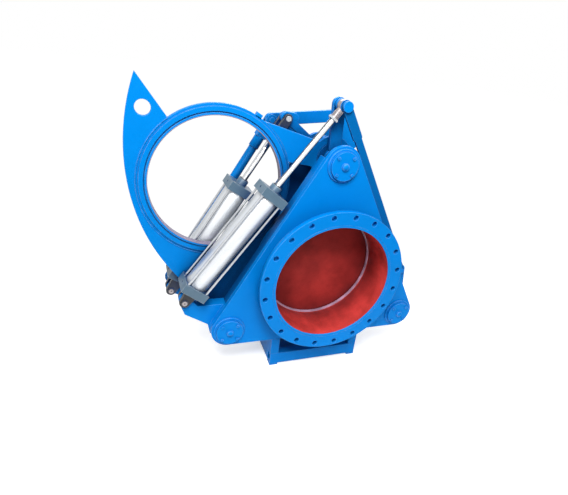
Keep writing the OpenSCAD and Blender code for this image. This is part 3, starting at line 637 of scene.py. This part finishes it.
def metal(name, colour, polish, streak, bump, turn=0.0, bare=1.0, rim=0.0, away=None, **skin):
    """A metal with streaks turned about the bore's axis, with a painted dark reflection on its rim
    and painted shade on its far side.
    """
    graph, shader, made = new_material(name)
    turned = {"Vector": graph.place(), "Rotation": (0, turn, 0), "Scale": streak}
    given = {"Place": graph.add("Mapping", turned).outputs[0], "Polish": polish}
    given.update({"Colour": solid(colour), "Shade": solid(colour, 0.55)})
    given.update({key.title(): value for key, value in skin.items()})
    done = graph.add("Group", given, node_tree=group_once(metal_skin)).outputs
    shader.inputs["Metallic"].default_value = bare
    # Painted reflection: the rim darkens as though it mirrored the valve's dark sides
    facing = graph.add("LayerWeight", {"Blend": 0.5}).outputs["Facing"]
    tone = graph.mix(graph.ramp(facing, 0.08, 0.50, 0.0, rim), done["Colour"], PAINTED_DARK_REFLECTION)
    # Painted shade: the side away from the light darkens
    if away:
        way, share = away
        normal = graph.add("TexCoord").outputs["Normal"]
        lean = graph.vector("DOT_PRODUCT", normal, way)["Value"]
        tone = graph.mix(graph.ramp(lean, 0.0, 0.50, 0.0, share), tone, PAINTED_DARK_REFLECTION)
    wire_paint(graph, shader, tone, done["Roughness"], done["Height"], bump)
    return made


def zinc_plate(name):
    """Zinc-plated screws, fasteners and pins."""
    skin = {"clouds": 60.0, "cloudiness": 0.45, "bump": 0.12}
    return metal(name, colours().zinc, polish=0.34, streak=(90, 90, 90), **skin)


def hard_chrome(name, side):
    """Piston rod of one cylinder."""
    skin = {"clouds": 20.0, "cloudiness": 0.10, "bump": 0.02}
    # Painted reflection on the rod's rim and painted shade on its far side
    dark = {"rim": ROD_RIM_REFLECTION[side], "away": (far_side(side), ROD_SHADE[side])}
    return metal(name, colours().chrome, polish=0.10, streak=(400, 400, 400), **skin, **dark)


def drawn_aluminium(name, side):
    """Barrel of one cylinder, drawn along its axis."""
    skin = {"clouds": 5.0, "cloudiness": 0.12, "bump": 0.05, "bare": 0.65}
    skin["turn"] = tilt(side + "_end_cap", side + "_head_cap")
    # Painted reflection on the barrel's rim and painted shade on its far side
    dark = {"rim": 0.30, "away": (far_side(side), 0.30)}
    return metal(name, colours().aluminium, polish=0.32, streak=(3, 500, 500), **skin, **dark)


def cast_bronze(name):
    """Bushes and screw nuts."""
    skin = {"clouds": 40.0, "cloudiness": 0.5, "bump": 0.10}
    return metal(name, colours().bronze, polish=0.36, streak=(60, 300, 60), **skin)


def bare_steel(name):
    """Machined steel of the rod eye and the pins' ends."""
    skin = {"clouds": 50.0, "cloudiness": 0.4, "bump": 0.10}
    return metal(name, colours().steel, polish=0.38, streak=(80, 80, 80), **skin)


def pale_seal(name):
    """Pale seal rings with dark patches."""
    graph, shader, made = new_material(name)
    place = graph.place()
    patches = graph.ramp(graph.noise(place, 14.0, 4.0), 0.3, 0.7)
    tone = graph.mix(patches, solid(colours().seal), solid(colours().seal, 0.35))
    rough = graph.ramp(graph.noise(place, 40.0), 0.3, 0.7, 0.22, 0.40)
    wire_paint(graph, shader, tone, rough, graph.noise(place, 500.0), bump=0.1)
    return made


# Mesh building


def soften(names, width):
    """Rounds the edges of solids without touching their meshes."""
    for name in names:
        modifiers = NODES[name].modifiers
        merge = modifiers.new("merge", "WELD")
        merge.merge_threshold = SAME_POINT
        flat = modifiers.new("flat", "DECIMATE")
        flat.decimate_type = "DISSOLVE"
        flat.angle_limit = FLAT
        edge = modifiers.new("edge", "BEVEL")
        edge.width = width
        edge.segments = EDGE_STEPS
        edge.limit_method = "ANGLE"
        edge.angle_limit = SHARP
        edge.harden_normals = True


def dress(names, material, width):
    """Gives solids a material and rounded edges."""
    for name in names:
        mesh = NODES[name].data
        mesh.materials.clear()
        mesh.materials.append(material)
    soften(names, width)


def spin(shape, geometry, centre, axis, steps, angle=math.tau):
    """Sweeps geometry about an axis, and closes it on itself after a full turn."""
    whole = angle == math.tau
    turn = {"cent": centre, "axis": axis, "angle": angle, "steps": steps}
    bmesh.ops.spin(shape, geom=geometry, use_merge=whole, **turn)


def round_edges(shape, width):
    """Rounds all edges of a shape."""
    look = {"segments": EDGE_STEPS, "profile": 0.5, "affect": "EDGES", "material": -1}
    bmesh.ops.bevel(shape, geom=shape.edges[:], offset=width, **look)


def lathe(profile, centre, axis, steps):
    """A turned shape: radius and height pairs spun about an axis."""
    shape = bmesh.new()
    side = axis.orthogonal().normalized()
    points = [shape.verts.new(centre + side * r + axis * h) for r, h in profile]
    lines = [shape.edges.new(pair) for pair in zip(points, points[1:])]
    spin(shape, points + lines, centre, axis, steps)
    return shape


def bead_ring(centre, radius, width):
    """A round bead along a circle about the bore's axis."""
    shape = bmesh.new()
    place = Matrix.Translation(centre + Vector((radius, 0, 0)))
    made = bmesh.ops.create_circle(shape, segments=BEAD_SIDES, radius=width, matrix=place)
    spin(shape, made["verts"] + shape.edges[:], centre, Y, BORE_STEPS)
    return shape


def tail_bead(centre, width):
    """A round bead along the part of the open ring's rim that meets the tail."""
    shape = bmesh.new()
    place = Matrix.Translation(centre) @ Matrix.Rotation(-TAIL_START, 4, "Y")
    place = place @ Matrix.Translation((rim_radius(), 0, 0))
    made = bmesh.ops.create_circle(shape, segments=BEAD_SIDES, radius=width, matrix=place)
    spin(shape, made["verts"] + shape.edges[:], centre, -Y, TAIL_STEPS, TAIL_TURN)
    bmesh.ops.holes_fill(shape, edges=shape.edges)
    return shape


def ring_stop(edge):
    """The block on the open ring's rim, turned to face its centre."""
    shape = bmesh.new()
    out = Matrix.Rotation(-STOP_TURN, 3, "Y") @ Vector((rim_radius() + STOP_OUT, 0, 0))
    place = Matrix.Translation(RING + out) @ Matrix.Rotation(-STOP_TURN, 4, "Y")
    bmesh.ops.create_cube(shape, size=1, matrix=place @ Matrix.Diagonal((*STOP_SIZE, 1)))
    round_edges(shape, edge)
    return shape


def arm_gusset(edge):
    """The plate beside the swing arm's axis, a little thinner than the arm."""
    shape = bmesh.new()
    start, end = middle("swing_pin"), middle("top_screw")
    way = Vector((end.x - start.x, 0, end.z - start.z)).normalized()
    off = Y.cross(way)
    front, back = depth("swing_arm")
    inset = (back - front) * GUSSET_INSET
    front, back = front + inset, back - inset
    points = [start + way * along + off * out for along, out in GUSSET]
    corners = [shape.verts.new(Vector((point.x, front, point.z))) for point in points]
    made = bmesh.ops.extrude_face_region(shape, geom=[shape.faces.new(corners)])
    moved = [part for part in made["geom"] if isinstance(part, bmesh.types.BMVert)]
    bmesh.ops.translate(shape, verts=moved, vec=Y * (back - front))
    bmesh.ops.recalc_face_normals(shape, faces=shape.faces)
    round_edges(shape, edge)
    return shape


def seal_lip(half, face):
    """The lip of a half's seal, in from its front face, which is nought, or its back, one."""
    inward = LIP if face else -LIP
    return bead_ring(Y * (depth(half + "_seal")[face] - inward), BORE_R, LIP_R)


def rod_wiper(side):
    """The wiper round a rod on its cylinder's head cap."""
    return lathe(WIPER, on_axis(side, side + "_head_cap", 1), rod_way(side), FITTING_STEPS)


def pin_ends(side):
    """Bright ends of a base pin on its clevis."""
    low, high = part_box(side + "_clevis")
    x, z = low.x + CLEVIS_R, low.z + CLEVIS_R
    spots = ((low.y + STUB, -Y), (high.y - STUB, Y))
    return [lathe(PIN_END, Vector((x, y, z)), way, FITTING_STEPS) for y, way in spots]


def eye_thread():
    """Ridges of the thread on the rod eye's shank."""
    pitch, turns, root, crest = 0.0044, 7, 0.0173, 0.0186
    rise, fall, sunk = 0.35, 0.6, 0.001
    ridges = [(root - sunk, 0)]
    for turn in range(turns):
        foot = turn * pitch
        ridges += [(root, foot), (crest, foot + pitch * rise), (crest, foot + pitch * fall)]
    profile = [*ridges, (root - sunk, turns * pitch), ridges[0]]
    return lathe(profile, on_axis("clamp", "clamp_rod_eye", 0), rod_way("clamp"), FITTING_STEPS)


def on_covers(profile, y):
    """A turned shape on the axis of each screw cover, from a depth forwards."""
    spots = [middle(name) for name in ("top_screw", "left_screw", "right_screw")]
    return [lathe(profile, Vector((spot.x, y, spot.z)), -Y, COVER_STEPS) for spot in spots]


def joined(shapes):
    """Several shapes in one."""
    whole = bmesh.new()
    for shape in shapes:
        bmesh.ops.remove_doubles(shape, verts=shape.verts, dist=SAME_VERTEX)
        bmesh.ops.recalc_face_normals(shape, faces=shape.faces)
        part = bpy.data.meshes.new("part")
        shape.to_mesh(part)
        shape.free()
        whole.from_mesh(part)
        bpy.data.meshes.remove(part)
    return whole


def place_piece(name, shapes, material, body):
    """Makes one piece of several shapes, which rides on a body."""
    whole = joined(shapes)
    mesh = bpy.data.meshes.new(name)
    whole.to_mesh(mesh)
    whole.free()
    mesh.shade_smooth()
    mesh.set_sharp_from_angle(angle=SHARP)
    mesh.materials.append(material)
    piece = bpy.data.objects.new(name, mesh)
    bpy.context.scene.collection.objects.link(piece)
    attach(piece, body)


# Stage


def seen_rays(graph):
    """One for camera, mirror and glass rays, nought for the rays that light the object."""
    path = graph.add("LightPath").outputs
    seen = graph.math("MAXIMUM", path["Is Camera Ray"], path["Is Glossy Ray"])
    return graph.math("MAXIMUM", seen, path["Is Transmission Ray"])


def set_floor():
    """A pale floor that keeps the shadow and looks white."""
    shape = bmesh.new()
    place = Matrix.Translation((0, 0, CAD_BOX[0].z - FLOOR_GAP))
    bmesh.ops.create_grid(shape, x_segments=1, y_segments=1, size=FLOOR_HALF, matrix=place)
    mesh = bpy.data.meshes.new("floor")
    shape.to_mesh(mesh)
    shape.free()
    floor = bpy.data.objects.new("floor", mesh)
    bpy.context.scene.collection.objects.link(floor)
    graph, shader, made = new_material("pale floor")
    far = graph.ramp(graph.vector("LENGTH", graph.place())["Value"], *FLOOR_FADE)
    tone = graph.mix(far, solid(stage_settings().floor), (0, 0, 0, 1))
    graph.tree.links.new(tone, shader.inputs["Base Color"])
    shader.inputs["Roughness"].default_value = 0.9
    shader.inputs["Specular IOR Level"].default_value = 0.0
    shader.inputs["Emission Color"].default_value = (1, 1, 1, 1)
    glow = graph.math("MULTIPLY", seen_rays(graph), graph.ramp(far, 0.0, 1.0, *FLOOR_GLOW))
    graph.tree.links.new(glow, shader.inputs["Emission Strength"])
    mesh.materials.append(made)


def set_sky():
    """Even light from all round, white where it is seen."""
    world = bpy.data.worlds.new("studio")
    world.use_nodes = True
    world.node_tree.nodes.clear()
    graph = Graph(world.node_tree)
    strength = graph.ramp(seen_rays(graph), 0.0, 1.0, stage_settings().sky, 1.0)
    light = graph.add("Background", {"Color": (1, 1, 1, 1), "Strength": strength})
    output = graph.add("OutputWorld")
    graph.tree.links.new(light.outputs[0], output.inputs[0])
    bpy.context.scene.world = world


def set_lamp(name, place, size, power):
    """A soft square lamp that faces the valve."""
    light = bpy.data.lights.new(name, "AREA")
    light.size = size
    light.energy = power
    made = bpy.data.objects.new(name, light)
    bpy.context.scene.collection.objects.link(made)
    made.location = place
    made.rotation_mode = "QUATERNION"
    made.rotation_quaternion = (LAMP_AIM - place).to_track_quat("-Z", "Y")


def set_camera():
    """The camera at the photograph's angle."""
    data = bpy.data.cameras.new("camera")
    data.sensor_fit = "HORIZONTAL"
    data.sensor_width = SENSOR
    data.lens = FOCAL_PIXELS / WIDTH_PIXELS * SENSOR
    camera = bpy.data.objects.new("camera", data)
    bpy.context.scene.collection.objects.link(camera)
    turned = Matrix((CAMERA_RIGHT, CAMERA_UP, -CAMERA_AHEAD)).transposed().to_4x4()
    camera.matrix_world = Matrix.Translation(CAMERA_PLACE) @ turned
    bpy.context.scene.camera = camera
    bpy.context.scene.view_settings.view_transform = "Standard"


# Operators


class PaintBody(bpy.types.Operator):
    """Paints the two body halves, their base and the cylinders' bracket"""

    bl_idname = "goggle_valve.paint_body"
    bl_label = "Paint body"

    def execute(self, context):
        edge, small = sizes().edge, sizes().small_edge
        blue = material_once(blue_enamel)
        bore = material_once(bore_paint)
        clear = material_once(open_enamel)
        dress(["front_yoke_plate", "screw_covers"], clear, edge)
        dress(["bracket_plate", "cylinder_bracket"], clear, edge)
        dress(["base_beams", "base_posts", "base_panels", "foot_pads"], clear, edge)
        dress(["front_ribs", "rear_yoke_plate", "rear_ribs"], blue, edge)
        dress(["front_flange", "front_neck", "rear_flange", "rear_neck"], bore, edge)
        dress(["front_seat_ring", "rear_seat_ring"], bore, small)
        dress(["cover_bolts_set"], clear, small)
        dress(["screw_bushes", "screw_nuts"], material_once(cast_bronze), small)
        dress(["front_seal", "rear_seal"], material_once(pale_seal), small)
        return {"FINISHED"}


class PaintPlate(bpy.types.Operator):
    """Paints the goggle plate: blue outside, red on the blind, a pale painted reflection in the
    ring's hole
    """

    bl_idname = "goggle_valve.paint_plate"
    bl_label = "Paint goggle plate"

    def execute(self, context):
        edge, small = sizes().edge, sizes().small_edge
        dress(["tail_sector", "plate_hub", "swing_arm"], material_once(blue_enamel), edge)
        dress(["neck_arms"], material_once(open_enamel), edge)
        dress(["open_ring"], material_once(ring_paint), small)
        dress(["blind_disc"], material_once(blind_paint), small)
        dress(["hub_bush"], material_once(cast_bronze), small)
        dress(["swing_pin"], material_once(zinc_plate), small)
        return {"FINISHED"}


class PaintLinkage(bpy.types.Operator):
    """Finishes the clamping screws, rockers, cranks, links and their pins"""

    bl_idname = "goggle_valve.paint_linkage"
    bl_label = "Paint linkage"

    def execute(self, context):
        edge, small = sizes().edge, sizes().small_edge
        blue = material_once(blue_enamel)
        zinc = material_once(zinc_plate)
        dress(["front_rocker", "rear_rocker", "left_crank", "right_crank"], blue, edge)
        dress(["left_link_tube", "left_link_forks"], blue, edge)
        # The right link gets the darker copy of the enamel, painted shade
        dress(["right_link"], material_once(dull_enamel), edge)
        dress(["rocker_pins", "right_crank_pin"], blue, small)
        dress(["top_screw", "left_screw", "right_screw"], zinc, small)
        dress(["left_crank_pin", "top_end_nut", "left_end_nut"], zinc, small)
        return {"FINISHED"}


class FinishCylinders(bpy.types.Operator):
    """Finishes the two air cylinders: barrels, caps, rods, clevises and rod ends"""

    bl_idname = "goggle_valve.finish_cylinders"
    bl_label = "Finish cylinders"

    def execute(self, context):
        edge, small = sizes().edge, sizes().small_edge
        slate = material_once(slate_enamel)
        black = material_once(black_paint)
        zinc = material_once(zinc_plate)
        for side in SIDES:
            dress([side + "_barrel"], drawn_aluminium(side + " barrel aluminium", side), small)
            dress([side + "_head_cap", side + "_end_cap"], slate, edge)
            dress([side + "_tie_rods"], zinc, small)
            dress([side + "_clevis"], black, small)
            dress([side + "_rod"], hard_chrome(side + " rod chrome", side), small)
        dress(["swing_yoke"], black, small)
        dress(["clamp_rod_eye"], material_once(bare_steel), small)
        dress(["clamp_lock_nut"], zinc, small)
        return {"FINISHED"}


class AddWelds(bpy.types.Operator):
    """Adds the weld beads round the necks and between the open ring and the tail"""

    bl_idname = "goggle_valve.add_welds"
    bl_label = "Add welds"

    def execute(self, context):
        blue = material_once(blue_enamel)
        neck_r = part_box("front_neck")[1].x
        bead = sizes().weld
        front = (depth("front_flange")[1], depth("front_yoke_plate")[0])
        rear = (depth("rear_yoke_plate")[1], depth("rear_flange")[0])
        halves = (("front_welds", front, "frame"), ("rear_welds", rear, "rear_body"))
        for name, places, body in halves:
            shapes = [bead_ring(Y * y, neck_r, bead) for y in places]
            place_piece(name, shapes, blue, body)
        faces = [Vector((RING.x, y, RING.z)) for y in depth("tail_sector")]
        shapes = [tail_bead(centre, bead * TAIL_BEAD) for centre in faces]
        place_piece("plate_welds", shapes, blue, "goggle_plate")
        return {"FINISHED"}


class AddFittings(bpy.types.Operator):
    """Adds wipers, pin ends, the eye's thread, domes, bosses, lips, the ring's stop and a gusset"""

    bl_idname = "goggle_valve.add_fittings"
    bl_label = "Add fittings"

    def execute(self, context):
        small = sizes().small_edge
        clear = material_once(open_enamel)
        black = material_once(black_paint)
        steel = material_once(bare_steel)
        for side in SIDES:
            body = side + "_cylinder"
            place_piece(side + "_rod_wiper", [rod_wiper(side)], black, body)
            place_piece(side + "_pin_ends", pin_ends(side), steel, body)
        place_piece("rod_eye_thread", [eye_thread()], steel, "clamp_piston_rod")
        domes = on_covers(DOME, depth("screw_covers")[0])
        place_piece("cover_domes", domes, clear, "frame")
        bosses = on_covers(BOSS, depth("front_yoke_plate")[0])
        place_piece("cover_bosses", bosses, clear, "frame")
        seal = material_once(pale_seal)
        for half, body, face in (("front", "frame", 1), ("rear", "rear_body", 0)):
            place_piece(half + "_seal_lip", [seal_lip(half, face)], seal, body)
        place_piece("ring_stop", [ring_stop(small)], clear, "goggle_plate")
        blue = material_once(blue_enamel)
        place_piece("arm_gusset", [arm_gusset(small)], blue, "goggle_plate")
        return {"FINISHED"}


class SetStage(bpy.types.Operator):
    """Sets the floor, the light and the camera"""

    bl_idname = "goggle_valve.set_stage"
    bl_label = "Set stage"

    def execute(self, context):
        set_floor()
        set_sky()
        for name, (place, size) in LAMPS.items():
            set_lamp(name + " lamp", Vector(place), size, getattr(stage_settings(), name))
        set_camera()
        return {"FINISHED"}


class GoggleValvePanel(bpy.types.Panel):
    """Lists the operators and the settings of the valve"""

    bl_idname = "VIEW3D_PT_goggle_valve"
    bl_label = "Goggle Valve"
    bl_space_type = "VIEW_3D"
    bl_region_type = "UI"
    bl_category = "Goggle Valve"

    def draw(self, context):
        for step in STEPS:
            self.layout.operator(step.bl_idname)
        for name, group in SETTINGS:
            box = self.layout.box()
            box.label(text=group.__doc__)
            for key in group.__annotations__:
                box.prop(getattr(context.scene, name), key)


STEPS = (PaintBody, PaintPlate, PaintLinkage, FinishCylinders, AddWelds, AddFittings, SetStage)
SETTINGS = (
    ("goggle_valve_colours", GoggleValveColours),
    ("goggle_valve_sizes", GoggleValveSizes),
    ("goggle_valve_stage", GoggleValveStage),
)


def register():
    """Makes the settings, operators and panel known."""
    for name, group in SETTINGS:
        bpy.utils.register_class(group)
        setattr(bpy.types.Scene, name, bpy.props.PointerProperty(type=group))
    for step in (*STEPS, GoggleValvePanel):
        bpy.utils.register_class(step)


def unregister():
    """Takes them out again."""
    for step in reversed((*STEPS, GoggleValvePanel)):
        bpy.utils.unregister_class(step)
    for name, group in reversed(SETTINGS):
        delattr(bpy.types.Scene, name)
        bpy.utils.unregister_class(group)


def main():
    """Makes the settings known and dresses the valve."""
    register()
    for step in STEPS:
        family, name = step.bl_idname.split(".")
        getattr(getattr(bpy.ops, family), name)()


if __name__ == "__main__":
    main()
